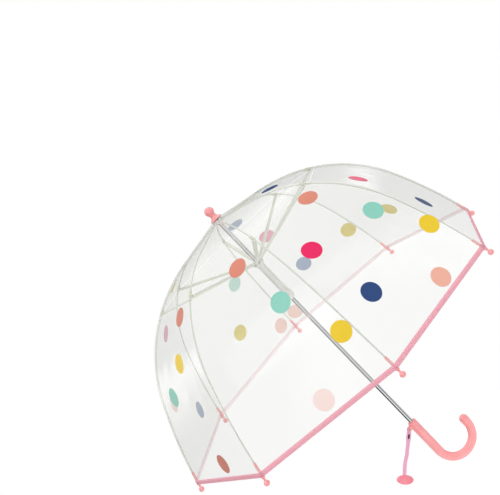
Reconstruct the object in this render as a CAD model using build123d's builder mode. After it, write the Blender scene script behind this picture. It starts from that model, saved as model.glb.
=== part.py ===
"""Clear bubble umbrella, open: a chrome shaft with a crook handle, eight hinged ribs and a film dome.

The origin is the middle of the grip, on the shaft's axis, and the shaft stands along +Z.
Rib 1 lies over +X, the side that the crook opens to, and the other ribs follow clockwise from above.
"""

import os
from math import atan2, cos, degrees, hypot, radians, sin, tan

from build123d import *

os.makedirs("parts", exist_ok=True)

# Main heights on the shaft
mouth_z = 36
crown_rise = 523
crown_z = mouth_z + crown_rise

# Shaft tube, sunk into the handle below and into the ferrule above
shaft_radius = 4
shaft_wall = 0.6
shaft_bottom_z = -22
shaft_top_rise = 16
shaft_top_z = crown_z + shaft_top_rise

# Ribs: eight round rods, each bent in four stretches of (length, turn in degrees)
gore_count = 8
gore_angle = 360 / gore_count
half_gore = gore_angle / 2
pivot_radius = 7.85
rib_bends = [(94, 3.0), (109, 21.9), (148, 30.8), (163, 11.0)]
rib_start_slope = 7.8
rib_length = sum(length for length, turn in rib_bends)
rib_radius = 1.3
rod_end_gap = 3
flex_at = 200
stretcher_at = 188.6
stretcher_drop = 4.5

# Eyes, ring wires and the notched rings that hold the rod ends
eye_radius = 1.8
eye_thickness = 1.6
eye_reach = 5.4
eye_neck = 2.2
eye_overlap = 2
wire_radius = 0.6
wire_hole_radius = 0.75
notch_radius = 11
notch_height = 7
notch_width = 2.2
notch_floor = 5.4

# Knuckle where the lower part of a rib hinges on the upper part
knuckle_radius = 1.9
knuckle_reach = 2.6
knuckle_pin_radius = 0.5
knuckle_hole_radius = 0.65
tongue_half = 0.5
cheek_inner = 0.65
cheek_outer = 1.45

# Clip that carries a stretcher's pivot under the rib
clip_radius = 2.2
clip_bore = 1.4
clip_back = 9
clip_front = 5
clip_tab_half = 1.2
clip_tab_radius = 1.5
rivet_radius = 0.8
rivet_hole_radius = 0.95
rivet_head_radius = 1.3
rivet_head = 0.5

# Stretcher channel
channel_width = 6.4
channel_neck_width = 4.4
channel_neck_length = 30
channel_height = 3.0
channel_wall = 0.7
channel_open_end = 5

# Film dome, measured from a rib's centre out to the film's corner
film_gap = 3.0
film_thickness = 0.25
film_start_radius = 6.5
film_start_rise = 5.2
film_join = 40
film_stations = 5
film_half_width = 160
wedge_reach = 370
binding_width = 8.5
binding_extra = 0.35
seam_gap = 0.25
split_gap = 0.3
tape_gap = 0.05

# Rib tips
tip_sleeve_radius = 2.3
tip_sleeve_length = 25
tip_shoulder = 2
tip_neck_radius = 1.7
tip_neck_at = 4
tip_ball_radius = 5
tip_ball_at = 11

# Runner
runner_bore = 4.4
runner_sleeve_radius = 6.8
runner_length = 96
runner_bulb_radius = 9.5
runner_bulb_length = 18
runner_bulb_round = 2.5
runner_cone = 7
runner_window_up = 26
runner_window_length = 24
runner_window_width = 3

# Spring catches in the shaft
catch_length = 16
catch_tail = 14
catch_thickness = 1.6
catch_tail_thickness = 1.2
catch_side_gap = 0.4
catch_nose = 7.2
catch_clearance = 0.6
catch_back = 1
bottom_catch_z = 111.5

# Ferrule and the spacer that the film is pressed over
ferrule_radius = 12
ferrule_edge = 1.5
ferrule_flare = 6.5
ferrule_seat_rise = 6.6
ferrule_edge_rise = 5.1
ferrule_neck_radius = 5.8
ferrule_ball_radius = 9
ferrule_ball_rise = 23.5
spacer_radius = 5.7
spacer_top = 5.6

# Handle
handle_radius = 8.5
handle_edge = 1.5
crook_radius = 38
crook_start_z = -44
free_leg = 9
handle_pin_radius = 1.2
handle_pin_z = 4
handle_pin_inset = 0.2

# Closing strap and the lug that it hangs from
strap_pivot_x = -13
strap_pivot_drop = 8
strap_pivot_z = mouth_z - strap_pivot_drop
strap_hang = 49
strap_half_thickness = 1.1
strap_half_width = 3.6
strap_eye_radius = 4.6
strap_pin_radius = 1.2
strap_hole_radius = 1.4
strap_length = 95
strap_curve = [(0, 0), (22, 0), (45, 0.6), (66, 3.0), (84, 2.4), (strap_length, 0)]
slot_at = 15
slot_length = 8
slot_width = 2.6
slot_rim = 4
lug_radius = 3.6
lug_half = 3.6
lug_gap = 1.4
lug_floor = 0.3
toggle_length = 33
toggle_width = 18
toggle_thickness = 6
toggle_edge = 1.7


def along_rib(distance):
    """Radius, height and downward slope of a rib's centreline, this far from the crown pivot."""
    radius, height, slope = pivot_radius, crown_z, rib_start_slope
    for length, turn in rib_bends:
        run = min(distance, length)
        bend = turn * run / length
        chord = 2 * (length / radians(turn)) * sin(radians(bend / 2))
        radius += chord * cos(radians(slope + bend / 2))
        height -= chord * sin(radians(slope + bend / 2))
        slope += bend
        distance -= run
    return radius, height, slope


def beside_rib(distance, outward):
    """A point at this distance along a rib, moved square to the rib towards the film."""
    radius, height, slope = along_rib(distance)
    return radius + outward * sin(radians(slope)), height + outward * cos(radians(slope))


def square_plane(point, slope):
    """A plane square to a rod that runs outward and down by slope, with its X across the rod."""
    direction = (cos(radians(slope)), 0, -sin(radians(slope)))
    return Plane(origin=(point[0], 0, point[1]), x_dir=(0, 1, 0), z_dir=direction)


def side_plane(point, slope):
    """The plane that a rod bends in, from the point: X along the rod and Y out towards the film."""
    direction = (cos(radians(slope)), 0, -sin(radians(slope)))
    return Plane(origin=(point[0], 0, point[1]), x_dir=direction, z_dir=(0, -1, 0))


def draw_rod(start, end):
    """Draw a rib's centreline between two distances, as arcs that run on into each other."""
    reached = 0
    for length, turn in rib_bends:
        first = max(start, reached)
        last = min(end, reached + length)
        reached += length
        if first < last:
            radius, height, slope = along_rib(first)
            heading = (cos(radians(slope)), -sin(radians(slope)))
            JernArc((radius, height), heading, length / radians(turn), -turn * (last - first) / length)


def draw_eye(radius, reach):
    """Draw a round eye on the plane's origin with a straight neck that reaches along X."""
    Circle(radius)
    with Locations((reach / 2, 0)):
        Rectangle(reach, eye_neck)


def export_ring(piece, name, first_angle=0):
    """Write eight copies of a piece, spaced clockwise around the shaft from the first angle."""
    for number in range(1, gore_count + 1):
        turned = piece.rotate(Axis.Z, -first_angle - gore_angle * (number - 1))
        turned.label = f"{name}_{number}"
        export_step(turned, f"parts/{name}_{number}.step")


# Where the stretchers pivot: the runner's pivots mirror the crown's about the pivot on the rib
crown_pivot = (pivot_radius, crown_z)
joint_pivot = beside_rib(stretcher_at, -stretcher_drop)
runner_pivot = (pivot_radius, 2 * joint_pivot[1] - crown_z)
stretcher_rise = joint_pivot[1] - runner_pivot[1]
stretcher_slope = -degrees(atan2(stretcher_rise, joint_pivot[0] - pivot_radius))
stretcher_length = hypot(stretcher_rise, joint_pivot[0] - pivot_radius)
runner_bottom_z = runner_pivot[1] + notch_height / 2 - runner_length
catches = {"top_catch": (runner_bottom_z - catch_clearance, -1), "bottom_catch": (bottom_catch_z, 1)}


# Shaft: a drawn tube with a window for each catch and a cross hole for the handle's pin
with BuildPart() as shaft:
    with BuildSketch(Plane.XY.offset(shaft_bottom_z)):
        Circle(shaft_radius)
        Circle(shaft_radius - shaft_wall, mode=Mode.SUBTRACT)
    extrude(amount=shaft_top_z - shaft_bottom_z)
    for hold_z, way in catches.values():
        with BuildSketch(Plane.XZ):
            with Locations((0, hold_z + way * catch_length / 2)):
                Rectangle(catch_thickness + 2 * catch_side_gap, catch_length + 4 * catch_side_gap)
        extrude(amount=-2 * shaft_radius, mode=Mode.SUBTRACT)
    with BuildSketch(Plane.XZ):
        with Locations((0, handle_pin_z)):
            Circle(handle_pin_radius)
    extrude(amount=2 * shaft_radius, both=True, mode=Mode.SUBTRACT)
shaft.part.label = "shaft"
export_step(shaft.part, "parts/shaft.step")


# Catches: spring noses that stand out of the windows over +Y, each with a flat face and a ramp
for name, (hold_z, way) in catches.items():
    ramp_z = hold_z + way * catch_length
    tail_z = ramp_z + way * catch_tail
    with BuildPart() as catch:
        with BuildSketch(Plane.YZ):
            with BuildLine():
                Polyline(
                    (catch_back, hold_z),
                    (catch_nose, hold_z),
                    (catch_nose, hold_z + way * catch_thickness),
                    (catch_back + catch_thickness, ramp_z),
                    (catch_back + catch_tail_thickness, tail_z),
                    (catch_back, tail_z),
                    close=True,
                )
            make_face()
        extrude(amount=catch_thickness / 2, both=True)
    catch.part.label = name
    export_step(catch.part, f"parts/{name}.step")


def wire_ring(height, radius):
    """An eight-sided ring of round wire, so that each eye turns on a straight side."""
    side = 2 * pivot_radius * tan(radians(half_gore))
    corner = pivot_radius / cos(radians(half_gore))
    with BuildPart(Plane.XY.offset(height)) as ring:
        with PolarLocations(pivot_radius, gore_count):
            Cylinder(radius, side, rotation=(90, 0, 0))
        with PolarLocations(corner, gore_count, start_angle=half_gore):
            Sphere(radius)
    return ring.part


def cut_notches(height):
    """Cut the eight radial slots and the wire's tunnel out of the ring being built."""
    slot_depth = 2 * notch_radius - notch_floor
    with Locations((0, 0, height)):
        with PolarLocations(notch_floor + slot_depth / 2, gore_count):
            Box(slot_depth, notch_width, notch_height, mode=Mode.SUBTRACT)
    add(wire_ring(height, wire_hole_radius), mode=Mode.SUBTRACT)


# Top notch: the slotted disc at the crown that the ribs fan out from
with BuildPart() as top_notch:
    with Locations((0, 0, crown_z)):
        Cylinder(notch_radius, notch_height)
    cut_notches(crown_z)
    with Locations((0, 0, crown_z)):
        Cylinder(shaft_radius, notch_height, mode=Mode.SUBTRACT)
top_notch.part.label = "top_notch"
export_step(top_notch.part, "parts/top_notch.step")

crown_wire = wire_ring(crown_z, wire_radius)
crown_wire.label = "crown_wire"
export_step(crown_wire, "parts/crown_wire.step")

runner_wire = wire_ring(runner_pivot[1], wire_radius)
runner_wire.label = "runner_wire"
export_step(runner_wire, "parts/runner_wire.step")


# Runner: a notched flange over a long sleeve that swells into a round thumb grip
bulb_z = runner_bottom_z + runner_bulb_length / 2
flange_bottom_z = runner_pivot[1] - notch_height / 2
window_z = runner_bottom_z + runner_window_up
with BuildPart() as runner:
    with Locations((0, 0, runner_pivot[1])):
        Cylinder(notch_radius, notch_height)
    cut_notches(runner_pivot[1])
    with BuildSketch(Plane.XZ):
        with BuildLine():
            Polyline(
                (runner_bulb_radius - runner_bulb_round, runner_bottom_z),
                (0, runner_bottom_z),
                (0, flange_bottom_z),
                (notch_radius, flange_bottom_z),
                (runner_sleeve_radius, flange_bottom_z - runner_cone),
                (runner_sleeve_radius, runner_bottom_z + runner_bulb_length),
            )
            ThreePointArc(
                (runner_sleeve_radius, runner_bottom_z + runner_bulb_length),
                (runner_bulb_radius, bulb_z),
                (runner_bulb_radius - runner_bulb_round, runner_bottom_z),
            )
        make_face()
    revolve(axis=Axis.Z)
    with Locations((0, 0, (runner_pivot[1] + runner_bottom_z) / 2)):
        Cylinder(runner_bore, 2 * runner_length, mode=Mode.SUBTRACT)
    with Locations((0, runner_sleeve_radius, window_z)):
        Box(runner_window_width, 2 * runner_sleeve_radius, runner_window_length, mode=Mode.SUBTRACT)
runner.part.label = "runner"
export_step(runner.part, "parts/runner.step")


# Clip: a moulded sleeve round the rib with a tab under it for the stretcher's rivet
clip_station = along_rib(stretcher_at)
clip_side = side_plane(clip_station[:2], clip_station[2])
clip_square = square_plane(clip_station[:2], clip_station[2])
with BuildPart() as rib_clip:
    with BuildSketch(clip_square.offset(-clip_back)):
        Circle(clip_radius)
    extrude(amount=clip_back + clip_front)
    with BuildSketch(clip_side):
        with Locations((0, -stretcher_drop / 2)):
            Rectangle(2 * clip_tab_radius, stretcher_drop)
        with Locations((0, -stretcher_drop)):
            Circle(clip_tab_radius)
    extrude(amount=clip_tab_half, both=True)
    with BuildSketch(clip_square.offset(-clip_back)):
        Circle(clip_bore)
    extrude(amount=clip_back + clip_front, mode=Mode.SUBTRACT)
    with BuildSketch(clip_side):
        with Locations((0, -stretcher_drop)):
            Circle(rivet_hole_radius)
    extrude(amount=clip_radius, both=True, mode=Mode.SUBTRACT)

# Upper part of a rib: an eye on the crown's wire, the rod, and a tongue for the knuckle
flex_station = along_rib(flex_at)
flex_side = side_plane(flex_station[:2], flex_station[2])
crown_side = side_plane(crown_pivot, rib_start_slope)
rod_start = along_rib(eye_reach)
with BuildPart() as rib_upper:
    with BuildLine(Plane.XZ):
        draw_rod(eye_reach, flex_at - knuckle_reach)
    with BuildSketch(square_plane(rod_start[:2], rod_start[2])):
        Circle(rib_radius)
    sweep()
    with BuildSketch(crown_side):
        draw_eye(eye_radius, eye_reach + eye_overlap)
    extrude(amount=eye_thickness / 2, both=True)
    with BuildSketch(flex_side):
        Circle(knuckle_radius)
        with Locations((-knuckle_reach, 0)):
            Rectangle(2 * knuckle_reach, eye_neck)
    extrude(amount=tongue_half, both=True)
    with BuildSketch(crown_side):
        Circle(wire_hole_radius)
    extrude(amount=eye_thickness, both=True, mode=Mode.SUBTRACT)
    with BuildSketch(flex_side):
        Circle(knuckle_hole_radius)
    extrude(amount=cheek_outer, both=True, mode=Mode.SUBTRACT)
    add(rib_clip.part)
export_ring(rib_upper.part, "rib_upper")


# Lower part of a rib: two cheeks with a pin round the tongue, then the rod to the tip
lower_start = along_rib(flex_at + knuckle_reach)
with BuildPart() as rib_lower:
    with BuildLine(Plane.XZ):
        draw_rod(flex_at + knuckle_reach, rib_length - rod_end_gap)
    with BuildSketch(square_plane(lower_start[:2], lower_start[2])):
        Circle(rib_radius)
    sweep()
    for side in (1, -1):
        with BuildSketch(flex_side.offset(side * cheek_inner)):
            draw_eye(knuckle_radius, 2 * knuckle_reach)
        extrude(amount=side * (cheek_outer - cheek_inner))
    with BuildSketch(flex_side):
        Circle(knuckle_pin_radius)
    extrude(amount=cheek_outer, both=True)
export_ring(rib_lower.part, "rib_lower")


# Rib tip: a sleeve on the rod's end that necks down to a ball beyond the canopy's corner
tip_station = along_rib(rib_length - tip_sleeve_length / 2)
tip_side = side_plane(tip_station[:2], tip_station[2])
corner_x = tip_sleeve_length / 2
ball_x = corner_x + tip_ball_at
with BuildPart() as rib_tip:
    with BuildSketch(tip_side):
        with BuildLine():
            Polyline(
                (ball_x, 0),
                (-corner_x, 0),
                (-corner_x, tip_sleeve_radius),
                (corner_x, tip_sleeve_radius),
                (corner_x + tip_neck_at, tip_neck_radius),
                (ball_x, tip_neck_radius),
                close=True,
            )
        make_face()
    revolve(axis=Axis(tip_side.origin, tip_side.x_dir))
    with Locations(tip_side.location):
        with Locations((ball_x, 0, 0)):
            Sphere(tip_ball_radius)
    with BuildSketch(square_plane(tip_station[:2], tip_station[2]).offset(-corner_x)):
        Circle(clip_bore)
    extrude(amount=tip_sleeve_length - tip_shoulder, mode=Mode.SUBTRACT)
export_ring(rib_tip.part, "rib_tip")


# Stretcher: a channel open to the film, with an eye on the runner's wire and a riveted fork
stretcher_square = square_plane(runner_pivot, stretcher_slope)
stretcher_foot = side_plane(runner_pivot, stretcher_slope)
stretcher_head = side_plane(joint_pivot, stretcher_slope)
channel_inner = channel_width - 2 * channel_wall
neck_inner = channel_neck_width - 2 * channel_wall
with BuildPart() as stretcher:
    with BuildSketch(stretcher_square.offset(eye_reach)):
        Rectangle(channel_neck_width, channel_height)
    with BuildSketch(stretcher_square.offset(channel_neck_length)):
        Rectangle(channel_width, channel_height)
    loft()
    with BuildSketch(stretcher_square.offset(channel_neck_length)):
        Rectangle(channel_width, channel_height)
    extrude(amount=stretcher_length - channel_neck_length)
    with BuildSketch(stretcher_square.offset(eye_reach)):
        with Locations((0, channel_wall)):
            Rectangle(neck_inner, channel_height)
    with BuildSketch(stretcher_square.offset(channel_neck_length)):
        with Locations((0, channel_wall)):
            Rectangle(channel_inner, channel_height)
    loft(mode=Mode.SUBTRACT)
    with BuildSketch(stretcher_square.offset(channel_neck_length)):
        with Locations((0, channel_wall)):
            Rectangle(channel_inner, channel_height)
    extrude(amount=stretcher_length - channel_neck_length, mode=Mode.SUBTRACT)
    with BuildSketch(stretcher_foot):
        draw_eye(eye_radius, eye_reach + 2 * eye_overlap)
    extrude(amount=eye_thickness / 2, both=True)
    with BuildSketch(stretcher_foot):
        Circle(wire_hole_radius)
    extrude(amount=eye_thickness, both=True, mode=Mode.SUBTRACT)
    with BuildSketch(stretcher_head):
        Circle(channel_height / 2)
    extrude(amount=channel_width / 2, both=True)
    with BuildSketch(stretcher_head):
        Rectangle(2 * channel_open_end, 2 * channel_height)
    extrude(amount=channel_inner / 2, both=True, mode=Mode.SUBTRACT)
    with BuildSketch(stretcher_head):
        Circle(rivet_radius)
    extrude(amount=channel_width / 2, both=True)
    for side in (1, -1):
        with BuildSketch(stretcher_head.offset(side * channel_width / 2)):
            Circle(rivet_head_radius)
        extrude(amount=side * rivet_head)
export_ring(stretcher.part, "stretcher")


def film_point(distance, outward):
    """A point of a gore's middle line, which lies nearer the shaft than the ribs do."""
    radius, height = beside_rib(distance, outward)
    return radius * cos(radians(half_gore)), height


def film_line(start, end, outward):
    """The middle line of a gore between two distances along the ribs."""
    step = (end - start) / film_stations
    return [film_point(start + step * i, outward) for i in range(film_stations + 1)]


# Gore wedge: one eighth of the circle, short of the seams on both sides, to trim the film with
wedge_apex = seam_gap / sin(radians(half_gore))
wedge_rise = (wedge_reach - wedge_apex) * tan(radians(half_gore))
with BuildPart() as gore_wedge:
    with BuildSketch(Plane.XY.offset(mouth_z)):
        with BuildLine():
            Polyline(
                (wedge_apex, 0),
                (wedge_reach, -wedge_rise),
                (wedge_reach, wedge_rise),
                close=True,
            )
        make_face()
    extrude(amount=crown_z)


# Upper panel: flat over the crown, then curved in one direction only, down to the rib knuckles
film_start_x = film_start_radius * cos(radians(half_gore))
film_start_z = crown_z + film_start_rise
upper_inside = film_line(film_join, flex_at - split_gap, film_gap)
upper_outside = film_line(film_join, flex_at - split_gap, film_gap + film_thickness)
with BuildPart() as panel_upper:
    with BuildSketch(Plane.XZ):
        with BuildLine():
            Line((film_start_x, film_start_z), upper_inside[0])
            Spline(*upper_inside)
            Line(upper_inside[-1], upper_outside[-1])
            Spline(*upper_outside)
            Line(upper_outside[0], (film_start_x, film_start_z + film_thickness))
            Line((film_start_x, film_start_z + film_thickness), (film_start_x, film_start_z))
        make_face()
    extrude(amount=film_half_width, both=True)
    add(gore_wedge.part, mode=Mode.INTERSECT)
export_ring(panel_upper.part, "panel_upper", half_gore)


# Lower panel: the rest of the gore, with the folded binding tape along its straight rim
binding_at = rib_length - binding_width
film_end = binding_at - tape_gap
lower_inside = film_line(flex_at + split_gap, film_end, film_gap)
lower_outside = film_line(flex_at + split_gap, film_end, film_gap + film_thickness)
with BuildPart() as binding:
    with BuildSketch(Plane.XZ):
        with BuildLine():
            Polyline(
                film_point(binding_at, film_gap - binding_extra),
                film_point(rib_length, film_gap - binding_extra),
                film_point(rib_length, film_gap + film_thickness + binding_extra),
                film_point(binding_at, film_gap + film_thickness + binding_extra),
                close=True,
            )
        make_face()
    extrude(amount=film_half_width, both=True)
    add(gore_wedge.part, mode=Mode.INTERSECT)
with BuildPart() as panel_lower:
    with BuildSketch(Plane.XZ):
        with BuildLine():
            Spline(*lower_inside)
            Line(lower_inside[-1], lower_outside[-1])
            Spline(*lower_outside)
            Line(lower_outside[0], lower_inside[0])
        make_face()
    extrude(amount=film_half_width, both=True)
    add(gore_wedge.part, mode=Mode.INTERSECT)
    add(binding.part)
export_ring(panel_lower.part, "panel_lower", half_gore)


# Spacer: the ring on the top notch that centres the film's hole
with BuildPart() as film_spacer:
    with BuildSketch(Plane.XY.offset(crown_z + notch_height / 2)):
        Circle(spacer_radius)
        Circle(shaft_radius, mode=Mode.SUBTRACT)
    extrude(amount=spacer_top - notch_height / 2)
film_spacer.part.label = "film_spacer"
export_step(film_spacer.part, "parts/film_spacer.step")


# Ferrule: a flared skirt over the film, a neck and a ball
seat_z = crown_z + ferrule_seat_rise
skirt_z = crown_z + ferrule_edge_rise
with BuildPart() as ferrule:
    with BuildSketch(Plane.XZ):
        with BuildLine():
            Polyline(
                (0, seat_z),
                (ferrule_neck_radius, seat_z),
                (ferrule_radius, skirt_z),
                (ferrule_radius, skirt_z + ferrule_edge),
                (ferrule_neck_radius, skirt_z + ferrule_flare),
                (ferrule_neck_radius, crown_z + ferrule_ball_rise),
                (0, crown_z + ferrule_ball_rise),
                close=True,
            )
        make_face()
    revolve(axis=Axis.Z)
    with Locations((0, 0, crown_z + ferrule_ball_rise)):
        Sphere(ferrule_ball_radius)
    with BuildSketch(Plane.XY.offset(seat_z)):
        Circle(shaft_radius)
    extrude(amount=shaft_top_z - seat_z, mode=Mode.SUBTRACT)
ferrule.part.label = "ferrule"
export_step(ferrule.part, "parts/ferrule.step")


# Handle: a round crook with a blind socket for the shaft and a forked lug for the strap
lug_gap_width = 2 * (abs(strap_pivot_x) - handle_radius + lug_floor)
with BuildPart() as handle:
    with BuildLine(Plane.XZ):
        Line((0, mouth_z), (0, crook_start_z))
        JernArc((0, crook_start_z), (0, -1), crook_radius, 180)
        Line((2 * crook_radius, crook_start_z), (2 * crook_radius, crook_start_z + free_leg))
    with BuildSketch(Plane.XY.offset(mouth_z)):
        Circle(handle_radius)
    sweep()
    with Locations((2 * crook_radius, 0, crook_start_z + free_leg)):
        Sphere(handle_radius)
    fillet(handle.faces().sort_by(Axis.Z)[-1].edges(), handle_edge)
    with BuildSketch(Plane.XZ.offset(-lug_half)):
        with Locations((strap_pivot_x, strap_pivot_z)):
            Circle(lug_radius)
        with Locations(((strap_pivot_x - handle_radius / 2) / 2, strap_pivot_z)):
            Rectangle(abs(strap_pivot_x) - handle_radius / 2, 2 * lug_radius)
    extrude(amount=2 * lug_half)
    with BuildSketch(Plane.XZ.offset(-lug_gap)):
        with Locations((strap_pivot_x, strap_pivot_z)):
            Rectangle(lug_gap_width, 4 * strap_eye_radius)
    extrude(amount=2 * lug_gap, mode=Mode.SUBTRACT)
    with BuildSketch(Plane.XZ.offset(-lug_half)):
        with Locations((strap_pivot_x, strap_pivot_z)):
            Circle(strap_pin_radius)
    extrude(amount=2 * lug_half)
    with BuildSketch(Plane.XY.offset(shaft_bottom_z)):
        Circle(shaft_radius)
    extrude(amount=mouth_z - shaft_bottom_z, mode=Mode.SUBTRACT)
    with BuildSketch(Plane.XZ):
        with Locations((0, handle_pin_z)):
            Circle(handle_pin_radius)
    extrude(amount=handle_radius, both=True, mode=Mode.SUBTRACT)
handle.part.label = "handle"
export_step(handle.part, "parts/handle.step")

with BuildPart() as handle_pin:
    with BuildSketch(Plane.XZ):
        with Locations((0, handle_pin_z)):
            Circle(handle_pin_radius)
    extrude(amount=handle_radius - handle_pin_inset, both=True)
handle_pin.part.label = "handle_pin"
export_step(handle_pin.part, "parts/handle_pin.step")


# Strap: an eye on the lug's pin, a slotted band, and the oval toggle that goes through the slot
strap_heading = (-sin(radians(strap_hang)), 0, -cos(radians(strap_hang)))
strap_side = Plane(origin=(strap_pivot_x, 0, strap_pivot_z), x_dir=strap_heading, z_dir=(0, 1, 0))
with BuildPart() as strap:
    with BuildSketch(strap_side):
        Circle(strap_eye_radius)
        with Locations((slot_at, 0)):
            SlotOverall(slot_length + 2 * slot_rim, 2 * strap_eye_radius)
        with BuildLine():
            left = Spline(*[(along, across + strap_half_width) for along, across in strap_curve])
            right = Spline(*[(along, across - strap_half_width) for along, across in strap_curve])
            Line(left @ 0, right @ 0)
            Line(left @ 1, right @ 1)
        make_face()
        with Locations((slot_at, 0)):
            SlotOverall(slot_length, slot_width, mode=Mode.SUBTRACT)
        Circle(strap_hole_radius, mode=Mode.SUBTRACT)
    extrude(amount=strap_half_thickness, both=True)
    with BuildSketch(strap_side):
        with Locations((strap_length, 0)):
            Ellipse(toggle_width / 2, toggle_length / 2)
    extrude(amount=toggle_thickness / 2, both=True)
    fillet(strap.faces().sort_by(Axis.Y)[0].edges(), toggle_edge)
    fillet(strap.faces().sort_by(Axis.Y)[-1].edges(), toggle_edge)
strap.part.label = "strap"
export_step(strap.part, "parts/strap.step")
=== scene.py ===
"""Looks for the clear bubble umbrella: film dome, dots, taped rim, ribs, chrome shaft and crook."""

from math import cos, pi, radians, sin

import bpy
from mathutils import Matrix, Vector


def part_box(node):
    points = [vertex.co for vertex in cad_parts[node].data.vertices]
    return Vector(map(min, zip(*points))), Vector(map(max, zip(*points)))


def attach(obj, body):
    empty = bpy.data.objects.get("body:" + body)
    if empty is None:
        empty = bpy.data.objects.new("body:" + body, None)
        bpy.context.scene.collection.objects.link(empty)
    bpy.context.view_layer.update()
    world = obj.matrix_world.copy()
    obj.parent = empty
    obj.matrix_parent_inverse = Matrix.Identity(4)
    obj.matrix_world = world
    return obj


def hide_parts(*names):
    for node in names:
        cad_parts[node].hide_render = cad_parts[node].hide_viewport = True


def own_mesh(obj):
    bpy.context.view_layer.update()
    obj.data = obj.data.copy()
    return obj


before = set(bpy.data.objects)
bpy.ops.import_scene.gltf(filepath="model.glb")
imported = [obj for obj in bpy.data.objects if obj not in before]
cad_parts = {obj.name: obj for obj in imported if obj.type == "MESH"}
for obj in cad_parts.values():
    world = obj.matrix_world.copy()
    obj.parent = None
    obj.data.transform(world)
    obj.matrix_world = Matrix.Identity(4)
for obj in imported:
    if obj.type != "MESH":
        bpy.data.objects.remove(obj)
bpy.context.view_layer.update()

# ---------------------------------------------------------------------------------------------
# Studio: a white painted board under a soft white tent with two narrow strip lamps and dark flags.
# The umbrella hangs in the air, so the board lies well below the crook.


def linear(hex_colour):
    """An sRGB hex colour as the linear RGBA that shaders use."""
    channels = [int(hex_colour[i:i + 2], 16) / 255 for i in (1, 3, 5)]
    return [c / 12.92 if c <= 0.04045 else ((c + 0.055) / 1.055) ** 2.4 for c in channels] + [1]


def add_node(tree, kind, sockets=None, **settings):
    """Add a node with its settings; sockets holds a value or a link for each input it names."""
    made = tree.nodes.new(kind)
    for name, value in settings.items():
        setattr(made, name, value)
    for name, value in (sockets or {}).items():
        if isinstance(value, bpy.types.NodeSocket):
            tree.links.new(value, made.inputs[name])
        else:
            made.inputs[name].default_value = value
    return made


def new_material(name):
    """An empty node material, and its tree."""
    material = bpy.data.materials.new(name)
    material.use_nodes = True
    material.node_tree.nodes.clear()
    return material, material.node_tree


def set_stops(ramp_node, stops):
    """Give a colour ramp these (position, linear colour) stops."""
    elements = ramp_node.color_ramp.elements
    while len(elements) < len(stops):
        elements.new(1.0)
    for element, (position, colour) in zip(elements, stops):
        element.position = position
        element.color = colour


def mesh_object(name, points, faces):
    """A smooth mesh object that sits at the origin, with its place in its points."""
    mesh = bpy.data.meshes.new(name)
    mesh.from_pydata(points, [], faces)
    mesh.polygons.foreach_set("use_smooth", [True] * len(mesh.polygons))
    made = bpy.data.objects.new(name, mesh)
    bpy.context.scene.collection.objects.link(made)
    return made


board_z = -0.42
board_reach = 0.85
board_paint, tree = new_material("matt_white_board")
surface = add_node(tree, "ShaderNodeBsdfPrincipled", {
    "Base Color": linear("#F6F6F6"),
    "Roughness": 0.9,
    "Emission Color": linear("#FFFFFF"),
    "Emission Strength": 0.3,
})
add_node(tree, "ShaderNodeOutputMaterial", {"Surface": surface.outputs["BSDF"]})
corners = [
    (x * board_reach, y * board_reach, board_z) for x, y in ((-1, -1), (1, -1), (1, 1), (-1, 1))
]
board = mesh_object("floor_board", corners, [(0, 1, 2, 3)])
board.data.materials.append(board_paint)

# Brightness of the tent by compass angle in degrees: the dips are dark flags, for lines in chrome
tent_flags = (
    (-180, 0.01), (-138, 0.01), (-130, 1.0), (-86, 1.0), (-78, 0.4), (-64, 0.4), (-60, 0.03),
    (-46, 0.03), (-40, 0.5), (55, 0.5), (68, 0.15), (95, 0.15), (110, 0.5), (150, 0.5),
    (160, 0.01), (180, 0.01),
)
tent_strips = (
    (-180, 0), (-134, 0), (-131.5, 1), (-129.5, 1), (-127, 0),
    (-32, 0), (-30, 1), (-28, 1), (-26, 0),
    (52, 0), (56, 0.6), (60, 0), (125, 0), (130, 0.8), (135, 0), (180, 0),
)
tent_strength = 1.08
strip_strength = 5.0
world = bpy.data.worlds.new("studio_tent")
bpy.context.scene.world = world
world.use_nodes = True
tree = world.node_tree
tree.nodes.clear()
outward = add_node(tree, "ShaderNodeSeparateXYZ", {
    "Vector": add_node(tree, "ShaderNodeTexCoord").outputs["Generated"],
})
compass = add_node(tree, "ShaderNodeMath", {
    0: outward.outputs["Y"],
    1: outward.outputs["X"],
}, operation="ARCTAN2")
turn_share = add_node(tree, "ShaderNodeMapRange", {
    "Value": compass.outputs[0],
    "From Min": -pi,
    "From Max": pi,
})
flags = add_node(tree, "ShaderNodeValToRGB", {"Fac": turn_share.outputs["Result"]})
set_stops(flags, [((angle + 180) / 360, (glow, glow, glow, 1)) for angle, glow in tent_flags])
strips = add_node(tree, "ShaderNodeValToRGB", {"Fac": turn_share.outputs["Result"]})
set_stops(strips, [((angle + 180) / 360, (glow, glow, glow, 1)) for angle, glow in tent_strips])
full, none = (1, 1, 1, 1), (0, 0, 0, 1)
flag_height = add_node(tree, "ShaderNodeValToRGB", {"Fac": outward.outputs["Z"]})
set_stops(flag_height, [(0.0, full), (0.5, full), (0.75, none), (1.0, none)])
strip_height = add_node(tree, "ShaderNodeValToRGB", {"Fac": outward.outputs["Z"]})
set_stops(strip_height, [(0.02, none), (0.12, full), (0.7, full), (0.95, none)])
tent = add_node(tree, "ShaderNodeMix", {
    0: flag_height.outputs["Color"],
    2: 1.0,
    3: flags.outputs["Color"],
})
strip_glow = add_node(tree, "ShaderNodeMath", {
    0: strips.outputs["Color"],
    1: strip_height.outputs["Color"],
}, operation="MULTIPLY")
tent_light = add_node(tree, "ShaderNodeMath", {
    0: tent.outputs[0],
    1: tent_strength,
}, operation="MULTIPLY")
lit = add_node(tree, "ShaderNodeMath", {
    0: strip_glow.outputs[0],
    1: strip_strength,
    2: tent_light.outputs[0],
}, operation="MULTIPLY_ADD")
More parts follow.
